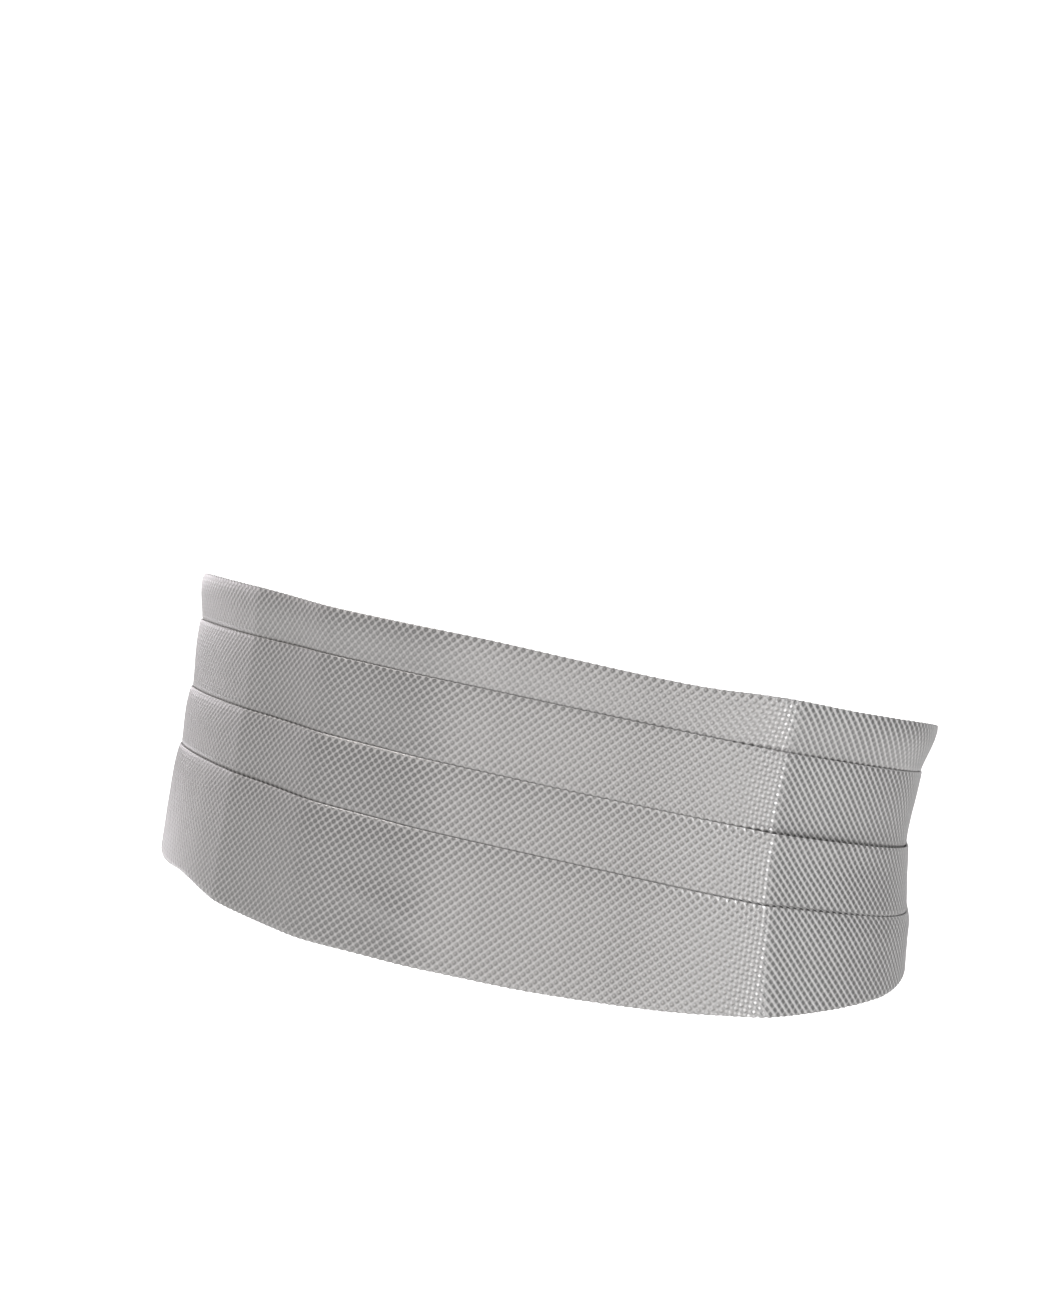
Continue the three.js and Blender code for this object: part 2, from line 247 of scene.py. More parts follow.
# %% [markdown]
# Seen from its end, the folded cloth is a long zigzag. Each band hangs from its own folded edge,
# swells a little below it, and slants back until the next fold covers it. Just above the next
# fold it dives behind, which makes the thin shadow line. Past the sharp ridge the second fold
# gapes off the band behind it, and in front the bands are tucked in less deeply, so short tables
# along the cloth give both.

# %% Sizes of the folded section
CLOTH = 0.45
FOLD_RADIUS = 0.24
FOLD = math.pi * FOLD_RADIUS  # the cloth that one half turn takes
# How far out a band lies, by share of its height from its folded edge down, in mm
BAND_SHAPE = [(0, 2.35), (0.12, 2.68), (0.35, 2.85), (0.6, 2.5), (0.85, 1.95), (1, 1.7)]
LAST_SHAPE = [(0, 2.35), (0.07, 2.65), (0.2, 2.85), (0.45, 2.5), (0.75, 2.2), (1, 2.1)]
BAND_TOP, BAND_FOOT, LAST_FOOT = BAND_SHAPE[0][1], BAND_SHAPE[-1][1], LAST_SHAPE[-1][1]
BEHIND_OUT = 1.3  # the layer that runs down behind the next fold
LEG_OUT = 1.85  # the layer that climbs to the next fold
DIVE = 1.1
SHALLOW = 0.3
GAPE_FADE = 2.2
BAND_ROWS = [9, 14, 12, 24]
FULL_BANDS = [(a - b) * PANEL_HEIGHT for a, b in zip(EDGE_LEVELS, EDGE_LEVELS[1:])]
# Where each folded edge lies on the flat cloth, from the top edge down
FOLD_AT = [0.0]
for full in FULL_BANDS[:-1]:
    FOLD_AT.append(FOLD_AT[-1] + FOLD + full + 2 * PLEAT_DEPTH + FOLD)
print("folded edges on the flat cloth at", [round(at, 1) for at in FOLD_AT], "mm")

# %% How the folds change along the cloth
WEAVE_ALONG = 2.83
WEAVE_ACROSS = 3.0
# How far the weave scallops the hems and the folded edges
HEM_SCALLOP = 0.13
FOLD_SCALLOP = 0.02
# How far the grain of each band leans off the upright
GRAIN_LEAN = [0, 0.01, 0.065, 0.04]
# The slow and the quick wave of each edge: rise and length in mm, and the shift from edge to edge
EDGE_WAVES = [(0.14, 37, 2.1), (0.05, 13, 1.0)]
# How far each folded edge gapes off the band behind it: (distance in mm, mm)
GAPE = [
    [(-310, 0), (310, 0)],
    [
        (-310, 0), (-120, 0), (-95, 0.1), (-45, 0.15), (-20, 0), (100, 0), (118, 0.1), (150, 0.12),
        (310, 0),
    ],
    [
        (-310, 0), (-120, 0), (-90, 0.3), (-45, 0.1), (98, 0), (110, 1.5), (150, 1.7), (172, 1.1),
        (200, 0.3), (310, 0),
    ],
    [
        (-310, 0), (-120, 0), (-90, 0.5), (-45, 0.1), (98, 0), (112, 0.3), (142, 0.3), (152, 0),
        (188, 0.15), (310, 0),
    ],
]
# How deep the foot of each band sinks under the next fold: 1 is fully
TUCK = [(-310, 1), (-80, 1), (-25, 0.4), (85, 0.4), (108, 1), (150, 1), (185, 0.4), (310, 0.4)]
print("the folds gape", max(mm for table in GAPE for _, mm in table), "mm at most")

# %% [markdown]
# The class below collects that zigzag from the top hem to the lower one, for every column at
# once. Each row has its layer, its height and its place on the flat cloth. The lattice is
# anchored at each fold, so that the rows of the weave start at the folded edge, as they do on
# cloth that is folded on the grain.


# %% The folded section, part by part
class Section:
    """The folded cloth seen from its end, collected row by row for every column at once."""

    def __init__(self, distance):
        self.distance, self.rows = distance, []
        (slow, slow_length, slow_shift), (quick, quick_length, quick_shift) = EDGE_WAVES
        self.edges = []
        for i, edge in enumerate(edge_heights(distance)):
            wave = slow * np.sin(distance / slow_length + slow_shift * i)
            wave = wave + quick * np.sin(distance / quick_length + quick_shift * i)
            self.edges.append(edge + wave)
        between = zip(self.edges, self.edges[1:], FULL_BANDS)
        self.scale = [(a - b) / full for a, b, full in between]
        self.ripple = np.cos(2 * np.pi * distance / WEAVE_ALONG)
        tuck = read_table(TUCK, distance)
        self.shallow = SHALLOW * (1 - tuck)
        self.dive = DIVE * (0.5 + 0.5 * tuck)

    def row(self, out, height, cloth, aside=0.0):
        same = 0 * self.distance
        self.rows.append((out + same, height + same, self.distance + aside, cloth + same))

    def half_turn(self, low, high, height, up, cloth, steps=5):
        """A half turn between two layers, over (up = 1) or under (up = -1) a height."""
        middle, half = (low + high) / 2, (high - low) / 2
        for k in range(1, steps):
            angle = math.pi * k / steps
            rise = up * np.abs(half) * math.sin(angle)
            self.row(middle - half * math.cos(angle), height + rise, cloth + FOLD * (k / steps))

    def crest(self, i):
        """The height at which the half turn over an edge starts, scalloped by the weave."""
        return self.edges[i] - FOLD_RADIUS + (FOLD_SCALLOP if i else HEM_SCALLOP) * self.ripple

    def top_hem(self):
        """The turned hem behind the top edge, from its cut edge up."""
        foot = self.edges[0] - HEM_DEPTH * self.scale[0]
        for k in range(5):
            height = foot + (self.crest(0) - foot) * k / 4
            self.row(BAND_TOP - 2 * FOLD_RADIUS, height, HEM_DEPTH * (k / 4 - 1))

    def band(self, i, foot, shape, shallow):
        """One band, over its folded edge and down to its foot. Returns where it ends on the cloth."""
        gape = read_table(GAPE[i], self.distance)
        top_out, crest = BAND_TOP + gape, self.crest(i)
        self.half_turn(top_out - 2 * FOLD_RADIUS, top_out, crest, 1, FOLD_AT[i])
        start = FOLD_AT[i] + FOLD
        tall = self.edges[i] - self.edges[i + 1]
        for k in range(BAND_ROWS[i] + 1):
            height = crest + (foot - crest) * (k / BAND_ROWS[i])
            drop = self.edges[i] - height
            below = drop / tall
            fade = np.clip(1 - below * GAPE_FADE, 0, 1) ** 2
            hang = read_table(shape, below) + shallow * below**3
            self.row(hang + gape * fade, height, start + drop, GRAIN_LEAN[i] * drop)
        return start + (self.edges[i] - foot)

    def pleat(self, i, foot, end):
        """The hidden cloth from the foot of a band, down, round and up to the next fold."""
        fold, depth = self.edges[i + 1], PLEAT_DEPTH * self.scale[i + 1]
        turn_at = fold - depth + FOLD_RADIUS
        for k in range(1, 3):
            sunk = (BAND_FOOT + self.shallow) * (1 - ease(k / 2)) + BEHIND_OUT * ease(k / 2)
            self.row(sunk, foot - self.dive * k / 2, end + self.dive * k / 2)
        end = end + self.dive
        for k in range(1, 5):
            self.row(BEHIND_OUT, fold + (turn_at - fold) * k / 4, end + depth * k / 4)
        self.half_turn(BEHIND_OUT, LEG_OUT, turn_at, -1, end + depth, 4)
        arrive = BAND_TOP - 2 * FOLD_RADIUS + read_table(GAPE[i + 1], self.distance)
        for k in range(5):
            climb = k / 4
            out = LEG_OUT + (arrive - LEG_OUT) * ease(climb)
            height = turn_at + (self.crest(i + 1) - turn_at) * climb
            self.row(out, height, FOLD_AT[i + 1] - depth * (1 - climb))

    def lower_hem(self, foot, end):
        """The half turn under the lower edge and the hem behind it, up to its cut edge."""
        inner = LAST_FOOT - 2 * FOLD_RADIUS
        self.half_turn(LAST_FOOT, inner, foot - HEM_SCALLOP * self.ripple, -1, end)
        for k in range(5):
            self.row(inner, foot + HEM_DEPTH * self.scale[-1] * k / 4, end + FOLD + HEM_DEPTH * k / 4)


def folded_rows(distance):
    """Rows of the folded cloth: layer out, height, and the place along and across the cloth."""
    section = Section(distance)
    section.top_hem()
    last = len(BAND_ROWS) - 1
    for i in range(last):
        foot = section.edges[i + 1] + section.dive
        section.pleat(i, foot, section.band(i, foot, BAND_SHAPE, section.shallow))
    foot = section.edges[-1] + FOLD_RADIUS
    section.lower_hem(foot, section.band(last, foot, LAST_SHAPE, 0.0))
    return [np.stack(part) for part in zip(*section.rows)]


print("rows of the folded section", len(folded_rows(np.array([0.0]))[0]))

# %% [markdown]
# The grid comes from one bmesh operator. Its columns are close together over the front, half a
# weave cell apart so that the folded edges can show the tiny scallops of the lattice, and wider
# apart at the back, which saves faces where little shows.

# %% Fold the flat cloth
HALF_CELL = WEAVE_ALONG / 2
FINE_FROM, FINE_TO = -108, 140  # in half cells from the middle of the front
RIGHT_COLUMNS, LEFT_COLUMNS = 54, 40
fine = np.arange(FINE_FROM, FINE_TO + 1) * HALF_CELL
columns = np.concatenate([
    np.linspace(-HALF_PANEL, fine[0], RIGHT_COLUMNS)[:-1],
    fine,
    np.linspace(fine[-1], HALF_PANEL, LEFT_COLUMNS)[1:],
])
layer_out, height, along_cloth, across_cloth = folded_rows(columns)
panel_places = place_cloth(columns[None, :] + 0 * height, layer_out, height)
panel_flat = np.stack([along_cloth, across_cloth], axis=-1)
across_mm = float(np.ptp(across_cloth, axis=0).mean())
print("panel grid", panel_places.shape[:2], "cloth across", round(across_mm, 1), "mm")


# %% Helpers that make a piece
def cloth_grid(bm, places, flat):
    """A flat grid of cloth laid out at places[row, column], with its flat map in metres."""
    count_rows, count_columns = places.shape[:2]
    made = bmesh.ops.create_grid(
        bm, x_segments=count_columns - 1, y_segments=count_rows - 1, size=1.0, calc_uvs=False
    )
    seat = {}
    for vertex in made["verts"]:
        column = round((vertex.co.x + 1) / 2 * (count_columns - 1))
        row = round((1 - vertex.co.y) / 2 * (count_rows - 1))
        seat[vertex] = (row, column)
    flat_map = bm.loops.layers.uv.new("cloth")
    for face in bm.faces:
        face.smooth = True
        for loop in face.loops:
            loop[flat_map].uv = flat[seat[loop.vert]] * MM
    for vertex, (row, column) in seat.items():
        vertex.co = Vector(places[row, column] * MM)


def new_object(bm, name, material):
    """One object at the origin from a finished bmesh."""
    mesh = bpy.data.meshes.new(name)
    bm.to_mesh(mesh)
    bm.free()
    mesh.materials.append(material)
    made = bpy.data.objects.new(name, mesh)
    bpy.context.scene.collection.objects.link(made)
    return made


def as_piece(bm, name, material):
    """A finished piece that rides on the body."""
    piece = new_object(bm, name, material)
    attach(piece, "root")
    return piece


def give_thickness(piece, thickness):
    """Cloth as thick as the real one, half of it on each side of the modelled layer."""
    solid = piece.modifiers.new("cloth thickness", "SOLIDIFY")
    solid.thickness = thickness
    solid.offset = 0
    solid.use_rim = True


# %% [markdown]
# ## Shader helpers
#
# A material is a sum over a surface, so it reads best as sums. Value wraps one output socket and
# gives it the signs of arithmetic, each of which adds a Math node. Finish is a material in the
# making, with one method that adds any other node.


# %% Arithmetic on sockets
class Value:
    """One output socket. Arithmetic on it adds Math nodes."""

    def __init__(self, finish, socket):
        self.finish, self.socket = finish, socket

    def math(self, operation, *inputs):
        node = self.finish.add("ShaderNodeMath", {"operation": operation})
        for slot, given in zip(node.inputs, inputs):
            self.finish.feed(slot, given)
        return Value(self.finish, node.outputs[0])

    def __add__(self, other):
        return self.math("ADD", self, other)

    def __radd__(self, other):
        return self.math("ADD", other, self)

    def __sub__(self, other):
        return self.math("SUBTRACT", self, other)

    def __rsub__(self, other):
        return self.math("SUBTRACT", other, self)

    def __mul__(self, other):
        return self.math("MULTIPLY", self, other)

    def __rmul__(self, other):
        return self.math("MULTIPLY", other, self)

    def __truediv__(self, other):
        return self.math("DIVIDE", self, other)

    def __pow__(self, other):
        return self.math("POWER", self, other)

    def __abs__(self):
        return self.math("ABSOLUTE", self)

    def cos(self):
        return self.math("COSINE", self)

    def step(self, start, end):
        """0 before start, 1 after end, and a gentle slope between them."""
        node = self.finish.add(
            "ShaderNodeMapRange",
            {"interpolation_type": "SMOOTHSTEP"},
            {"Value": self, "From Min": start, "From Max": end},
        )
        return Value(self.finish, node.outputs["Result"])


# %% A material in the making
class Finish:
    """A material in the making."""

    def __init__(self, name):
        self.material = bpy.data.materials.new(name)
        self.material.use_nodes = True
        self.tree = self.material.node_tree
        self.tree.nodes.clear()

    def feed(self, socket, given):
        """Links a value to a socket, or sets the socket to a number or colour."""
        if isinstance(given, Value):
            self.tree.links.new(given.socket, socket)
        else:
            socket.default_value = given

    def add(self, kind, settings=None, inputs=None):
        """Any node: its settings first, then the values or links of its sockets."""
        node = self.tree.nodes.new(kind)
        for name, setting in (settings or {}).items():
            if name == "stops":
                ramp = node.color_ramp
                while len(ramp.elements) < len(setting):
                    ramp.elements.new(0.5)
                for element, (place, colour) in zip(ramp.elements, setting):
                    element.position, element.color = place, colour
            else:
                setattr(node, name, setting)
        for name, given in (inputs or {}).items():
            self.feed(node.inputs[name], given)
        return node

    def out(self, node, name=0):
        return Value(self, node.outputs[name])

    def flat_map(self):
        """Distance along and across the flat cloth, in metres."""
        uv = self.add("ShaderNodeUVMap", {"uv_map": "cloth"})
        parts = self.add("ShaderNodeSeparateXYZ", {}, {"Vector": self.out(uv)})
        return self.out(uv), self.out(parts, "X"), self.out(parts, "Y")

    def table(self, value, low, high, rows):
        """A number read from rows of (place, number), as a ramp over value from low to high."""
        share = (value - low) / (high - low)
        stops = [((at - low) / (high - low), (number, number, number, 1)) for at, number in rows]
        ramp = self.add("ShaderNodeValToRGB", {"stops": stops}, {"Fac": share})
        ramp.color_ramp.interpolation = "EASE"
        return self.out(ramp, "Color")

    def mix(self, share, first, second):
        """One colour turning into another."""
        node = self.add("ShaderNodeMix", {"data_type": "RGBA"}, {"Factor": share})
        self.feed(node.inputs[6], first)
        self.feed(node.inputs[7], second)
        return Value(self, node.outputs[2])

    def noise(self, place, scale, detail=2.0, stretch=(1, 1, 1)):
        """Soft seeded noise about 0.5."""
        moved = self.add("ShaderNodeMapping", {}, {"Vector": place, "Scale": stretch})
        inputs = {"Vector": self.out(moved), "Scale": scale, "Detail": detail}
        return self.out(self.add("ShaderNodeTexNoise", {}, inputs), "Fac")

    def bump(self, height, distance, strength=1.0):
        """A surface that stands up by height, in metres at a height of 1."""
        inputs = {"Strength": strength, "Distance": distance, "Height": height}
        return self.out(self.add("ShaderNodeBump", {}, inputs))

    def finish(self, **inputs):
        """The surface shader, with the named sockets set or linked."""
        named = {name.replace("_", " "): given for name, given in inputs.items()}
        shader = self.add("ShaderNodeBsdfPrincipled", {}, named)
        output = self.add("ShaderNodeOutputMaterial")
        self.tree.links.new(shader.outputs["BSDF"], output.inputs["Surface"])
        return self.material


# %% [markdown]
# ## The figured silk
#
# The silk is woven with a fine raised lattice: smooth ridges run along both diagonals and leave
# a rounded pit in every cell, 2.8 mm apart along the cloth and 3 mm across it. Two cosines of
# the flat map make the ridges, and their product marks the knots where they cross. The ridges are
# matt, and the floats of silk in the pits are smooth and glossy, so a pit is darker than its
# ridges where it faces away from the light and brighter where it faces it. On top of that the pits
# are painted darker than the ridges, which is painted shade in the hollows, and the middle of each
# cell is painted lighter as a small dot, a painted highlight where the floats catch the light.
#
# The sash was packed flat in front, and part of the light and shade on the ridges is painted into
# the colour, so the figure looks different from place to place. The rising set is drawn stronger
# and lighter on the front, as painted light, and the falling set past the sharp ridge. Six short
# tables along the cloth say how plainly each set shows, how light the painted shade in the pits and
# the painted highlight dots are, how deep the figure stands, and how far the crest of the ridge is
# polished and painted lighter as a highlight. One relief value drives colour, gloss and bump, so
# they agree.

# %% How the weave changes along the cloth, by distance in metres
CLOTH_END = 0.31
# How plainly each set of ridges shows, in the bump and as painted light in the colour
RISING_SHARE = [
    (-0.31, 0.62), (-0.14, 0.6), (-0.11, 0.72), (-0.05, 0.7), (0.02, 0.75), (0.07, 0.78),
    (0.09, 0.78), (0.107, 0.85), (0.113, 0.5), (0.15, 0.45), (0.18, 0.4), (0.31, 0.4),
]
FALLING_SHARE = [
    (-0.31, 0.62), (-0.14, 0.6), (-0.11, 0.55), (-0.05, 0.55), (0.02, 0.58), (0.07, 0.66),
    (0.09, 0.75), (0.107, 0.85), (0.113, 1), (0.135, 1), (0.17, 0.6), (0.31, 0.55),
]
# How light the floats in the pits are: the pits are painted darker than the ridges, as painted shade
PAINTED_PIT_SHADE = [
    (-0.31, 0.3), (-0.14, 0.3), (-0.1, 0.2), (-0.04, 0.27), (0.02, 0.24), (0.07, 0.08), (0.1, 0),
    (0.113, 0), (0.135, 0), (0.17, 0.35), (0.31, 0.35),
]
# How light the painted highlight in the middle of each cell is, where the floats catch the light
PAINTED_DOT_HIGHLIGHT = [
    (-0.31, 0.8), (-0.14, 0.8), (-0.11, 0.4), (-0.04, 0.4), (0.02, 0.6), (0.08, 0.8), (0.1, 1),
    (0.109, 1), (0.113, 0), (0.31, 0),
]
# How deep the figure stands out of the cloth: it is packed flat in front and full past the ridge
FIGURE_DEPTH = [
    (-0.31, 0.8), (-0.14, 0.8), (-0.08, 0.65), (-0.03, 0.5), (0.04, 0.68), (0.07, 0.95), (0.1, 1.1),
    (0.115, 1), (0.135, 1), (0.165, 0.45), (0.31, 0.4),
]
# How far the pressed crest of the ridge is polished: glossier, and painted lighter as a highlight
POLISH_AND_HIGHLIGHT = [
    (-0.31, 0), (0.08, 0), (0.097, 0.45), (0.104, 1), (0.109, 0.9), (0.113, 0), (0.31, 0),
]
print("figure of the silk", WEAVE_ALONG, "x", WEAVE_ACROSS, "mm")

# %% Silk finish
SHADED_SILK = (0.33, 0.323, 0.32, 1)
LIGHT_SILK = (0.62, 0.608, 0.603, 1)
RIDGE_TONE = 0.75
RIDGE_SHARPNESS = 2.0
DOT_SHARPNESS = 6
FIGURE_HEIGHT = 0.0003  # of the bump, in metres
THREAD_STRETCH = (900, 2600, 1)  # noise cells to a metre, along and across
CLOUD_STRETCH = (14, 22, 1)


def silk_finish():
    silk = Finish("figured silk")
    place, along, across = silk.flat_map()

    def by_place(rows):
        return silk.table(along, -CLOTH_END, CLOTH_END, rows)

    # the lattice: two sets of ridges, the knots where they cross and the floats between them
    u = along / (WEAVE_ALONG * MM)
    v = across / (WEAVE_ACROSS * MM)
    rising = (((u + v) * (2 * math.pi)).cos() + 1) * 0.5
    falling = (((u - v) * (2 * math.pi)).cos() + 1) * 0.5
    float_middle = (1 - rising) * (1 - falling)
    rising = rising**RIDGE_SHARPNESS * by_place(RISING_SHARE)
    falling = falling**RIDGE_SHARPNESS * by_place(FALLING_SHARE)
    knot = rising * falling
    relief = rising + falling - knot
    ridge = relief.step(0.1, 0.85)
    dot = float_middle**DOT_SHARPNESS * by_place(PAINTED_DOT_HIGHLIGHT)
    # single threads, and soft clouds where the cloth was handled
    thread = silk.noise(place, 1.0, 3.0, THREAD_STRETCH)
    cloud = silk.noise(place, 1.0, 2.0, CLOUD_STRETCH)
    # colour with painted shade in the pits and painted highlights, then gloss and bump
    pit_shade, polish_and_highlight, depth = by_place(PAINTED_PIT_SHADE), by_place(POLISH_AND_HIGHLIGHT), by_place(FIGURE_DEPTH)
    # painted highlight: the polished crest, the knots and the dots are drawn lighter in the colour
    painted_highlight = polish_and_highlight * (0.5 - ridge + knot) + knot * (1.5 - depth) + dot * 0.9
    # painted shade: the pits are drawn darker than the ridges in the colour
    tone = pit_shade + ridge * (RIDGE_TONE - pit_shade) + painted_highlight + thread * 0.2 + cloud * 0.15 - 0.15
    height = (relief + float_middle * 0.2) * depth + thread * 0.12
    return silk.finish(
        Base_Color=silk.mix(tone, SHADED_SILK, LIGHT_SILK),
        Metallic=0.85 - ridge * 0.65 - dot * 0.5 + polish_and_highlight * 0.25,
        Roughness=0.34 + ridge * 0.22 - polish_and_highlight * 0.04,
        Specular_IOR_Level=0.5,
        Sheen_Weight=0.12,
        Sheen_Roughness=0.4,
        Normal=silk.bump(height, FIGURE_HEIGHT),
    )


figured_silk = silk_finish()
print("silk finish", len(figured_silk.node_tree.nodes), "nodes")

# %% Make the pleated front
bm = bmesh.new()
cloth_grid(bm, panel_places, panel_flat)
panel = as_piece(bm, "pleated_silk_front", figured_silk)
give_thickness(panel, CLOTH * MM)
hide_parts("pleated_front")
print("pleated front", len(panel.data.polygons), "faces before thickness")

# %% [markdown]
# ## The straps
#
# Each strap is a flat band of ribbed satin, 32 mm wide. It is sewn between the layers at the end
# of the panel, runs round to the back, passes through the slot of the clasp and lies back on
# itself. A strap has no folds, so a narrow grid along that line and a Solidify modifier are all
# that it needs.

# %% Sizes of the straps and the clasp, as in the CAD model
STRAP_WIDTH = 32.0
STRAP_THICKNESS = 1.0
SATIN = 0.9  # a little thinner than the solid, so that its two layers stay apart
GAP = 0.3
STRAP_LAP = 22.0
STRAP_RETURN = 25.0
CLASP_LENGTH = 46.0
CLASP_HEIGHT = 42.0
CLASP_THICKNESS = 2.5
CLASP_BAR = 4.0
CLASP_SLOT = 5.0
STRAP_OUT = -1.3
LOOP_RISE = CLASP_THICKNESS + 2 * GAP + STRAP_THICKNESS
RETURN_RISE = STRAP_THICKNESS + GAP
BACK = float(WAIST_AT[len(WAIST_AT) // 2])
BAR_MIDDLE = CLASP_LENGTH / 2 - CLASP_BAR / 2
STRAP_STEPS, TURN_STEPS, STRAP_COLUMNS = 40, 12, 9


def strap_path(side):
    """Rows of (distance, layer out) from the sewn end, round the bar and back."""
    back = BACK if side > 0 else BACK - GIRTH
    start = side * (HALF_PANEL - STRAP_LAP)
    bar = back - side * BAR_MIDDLE
    turn_at, leave = bar + side * CLASP_BAR / 2, bar - side * CLASP_BAR / 2
    outer = STRAP_OUT + LOOP_RISE
    path = [(d, STRAP_OUT) for d in np.linspace(start, turn_at, STRAP_STEPS)]
    for k in range(1, TURN_STEPS):
        angle = math.pi * k / TURN_STEPS
        round_bar = turn_at + side * LOOP_RISE / 2 * math.sin(angle)
        path.append((round_bar, STRAP_OUT + LOOP_RISE / 2 * (1 - math.cos(angle))))
    path += [(turn_at, outer), (leave, outer)]
    for k in range(1, TURN_STEPS + 1):
        share = k / TURN_STEPS
        settle = float(ease(2 * share))
        path.append((leave - side * STRAP_RETURN * share, outer + (RETURN_RISE - LOOP_RISE) * settle))
    return np.array(path)


print("the strap turns round a bar", CLASP_BAR, "mm wide")

# %% [markdown]
# The satin has fine upright ribs, 1.1 mm apart, and a flat woven edge on both sides. A cosine of
# the distance along the strap makes the ribs, and stretched noise makes the threads.

# %% Satin finish
RIB = 0.0011
WOVEN_EDGE = (0.0142, 0.0152)  # from the middle of the strap, in metres


def satin_finish():
    satin = Finish("strap satin")
    place, along, across = satin.flat_map()
    rib = ((along * (2 * math.pi / RIB)).cos() + 1) * 0.5
    thread = satin.noise(place, 1.0, 3.0, (700, 5000, 1))
    edge = abs(across).step(*WOVEN_EDGE)
    tone = rib * 0.5 + thread * 0.4 - edge * 0.15
    return satin.finish(
        Base_Color=satin.mix(tone, (0.25, 0.245, 0.243, 1), (0.42, 0.414, 0.41, 1)),
        Roughness=0.42,
        Specular_IOR_Level=0.5,
        Sheen_Weight=0.2,
        Sheen_Roughness=0.4,
        Normal=satin.bump(rib + thread * 0.3 + edge * 0.8, 0.00018),
    )


strap_satin = satin_finish()
print("satin finish", len(strap_satin.node_tree.nodes), "nodes")

# %% Make the two straps
for name, side in (("left", 1), ("right", -1)):
    path = strap_path(side)
    x, y, out_x, out_y = waist(path[:, 0])
    line = np.stack([x + out_x * path[:, 1], y + out_y * path[:, 1]], axis=-1)
    run = np.concatenate([[0], np.cumsum(np.hypot(*np.diff(line, axis=0).T))])
    across = np.linspace(-STRAP_WIDTH / 2, STRAP_WIDTH / 2, STRAP_COLUMNS)
    places = np.array([[(px, py, STRAP_LEVEL - a) for px, py in line] for a in across])
    flat = np.array([[(r, a) for r in run] for a in across])
    bm = bmesh.new()
    cloth_grid(bm, places, flat)
    strap = as_piece(bm, f"satin_strap_{name}", strap_satin)
    give_thickness(strap, SATIN * MM)
    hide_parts(f"strap_{name}")
    print("strap", name, "length", round(float(run[-1]), 1), "mm")

# %% [markdown]
# ## The clasp
#
# The clasp at the back is one flat plate with an upright slot near each end. A small grid gives
# the plate with its slots already in the right cells: two cells go, the rest is extruded, and
# bevels round the corners and take the sharpness off the rims.

# %% Clasp plate
SLOT_EASE = 1.5
CORNER_RADIUS, SLOT_RADIUS, RIM_RADIUS = 4.0, 1.5, 0.45
SLOT_END = CLASP_LENGTH / 2 - CLASP_BAR
SLOT_START = SLOT_END - CLASP_SLOT


def slotted_plate(bm):
    """The plate lying flat, with its two slots, before its edges are rounded."""
    slot_half = STRAP_WIDTH / 2 + GAP + SLOT_EASE
    lines_x = [-CLASP_LENGTH / 2, -SLOT_END, -SLOT_START, SLOT_START, SLOT_END, CLASP_LENGTH / 2]
    lines_z = [-CLASP_HEIGHT / 2, -slot_half, slot_half, CLASP_HEIGHT / 2]
    cells_x, cells_z = len(lines_x) - 1, len(lines_z) - 1
    bmesh.ops.create_grid(bm, x_segments=cells_x, y_segments=cells_z, size=1.0)
    for vertex in bm.verts:
        i = round((vertex.co.x + 1) / 2 * cells_x)
        j = round((vertex.co.y + 1) / 2 * cells_z)
        vertex.co = Vector((lines_x[i], lines_z[j], 0)) * MM
    holes = []
    for face in bm.faces:
        middle = face.calc_center_median() / MM
        if abs(middle.y) < 1 and SLOT_START < abs(middle.x) < SLOT_END:
            holes.append(face)
    bmesh.ops.delete(bm, geom=holes, context="FACES")
    raised = bmesh.ops.extrude_face_region(bm, geom=bm.faces[:])
    top = [v for v in raised["geom"] if isinstance(v, bmesh.types.BMVert)]
    bmesh.ops.translate(bm, verts=top, vec=(0, 0, CLASP_THICKNESS * MM))
    bmesh.ops.recalc_face_normals(bm, faces=bm.faces[:])


def round_edges(bm, edges, radius, segments):
    bmesh.ops.bevel(
        bm, geom=edges, offset=radius * MM, offset_type="OFFSET", segments=segments,
        profile=0.5, affect="EDGES", material=-1,
    )


def round_plate(bm):
    """The outer corners, then the corners of the slots, then every rim."""
    upright = []
    for edge in bm.edges:
        tall = abs(edge.verts[0].co.z - edge.verts[1].co.z) > 1 * MM
        if tall and len(edge.link_faces) == 2 and edge.calc_face_angle() > 1:
            upright.append(edge)
    outer = [e for e in upright if abs(e.verts[0].co.x) > (SLOT_END + 1) * MM]
    inner = [e for e in upright if e not in outer]
    round_edges(bm, outer, CORNER_RADIUS, 8)
    round_edges(bm, [e for e in inner if e.is_valid], SLOT_RADIUS, 5)
    bmesh.ops.dissolve_limit(bm, angle_limit=0.001, verts=bm.verts[:], edges=bm.edges[:])
    rims = []
    for edge in bm.edges:
        if len(edge.link_faces) == 2:
            flat, wall = (abs(face.normal.z) for face in edge.link_faces)
            if abs(flat - wall) > 0.9:
                rims.append(edge)
    round_edges(bm, rims, RIM_RADIUS, 3)
    bmesh.ops.recalc_face_normals(bm, faces=bm.faces[:])


def clasp_plate():
    """The plate, stood up at the back so that its bars lie between the layers of the straps."""
    bm = bmesh.new()
    slotted_plate(bm)
    round_plate(bm)
    bar_y = float(waist(np.array(BACK - BAR_MIDDLE))[1])
    inner_face = STRAP_OUT + STRAP_THICKNESS / 2 + GAP
    stand = Matrix(((1, 0, 0), (0, 0, 1), (0, -1, 0))).to_4x4()
    bmesh.ops.transform(bm, matrix=stand, verts=bm.verts[:])
    bmesh.ops.translate(bm, verts=bm.verts[:], vec=Vector((0, bar_y + inner_face, STRAP_LEVEL)) * MM)
    for face in bm.faces:
        face.smooth = False
    return bm


print("slots of the clasp", CLASP_SLOT, "mm wide")

# %% [markdown]
# The plate is brushed along its length. Noise that is stretched a long way in that direction
# makes the brush marks, and a second, even noise makes the metal duller where it was handled.

# %% Make the clasp
BRUSH_STRETCH = (120, 120, 9000)
WEAR_SCALE = 260.0


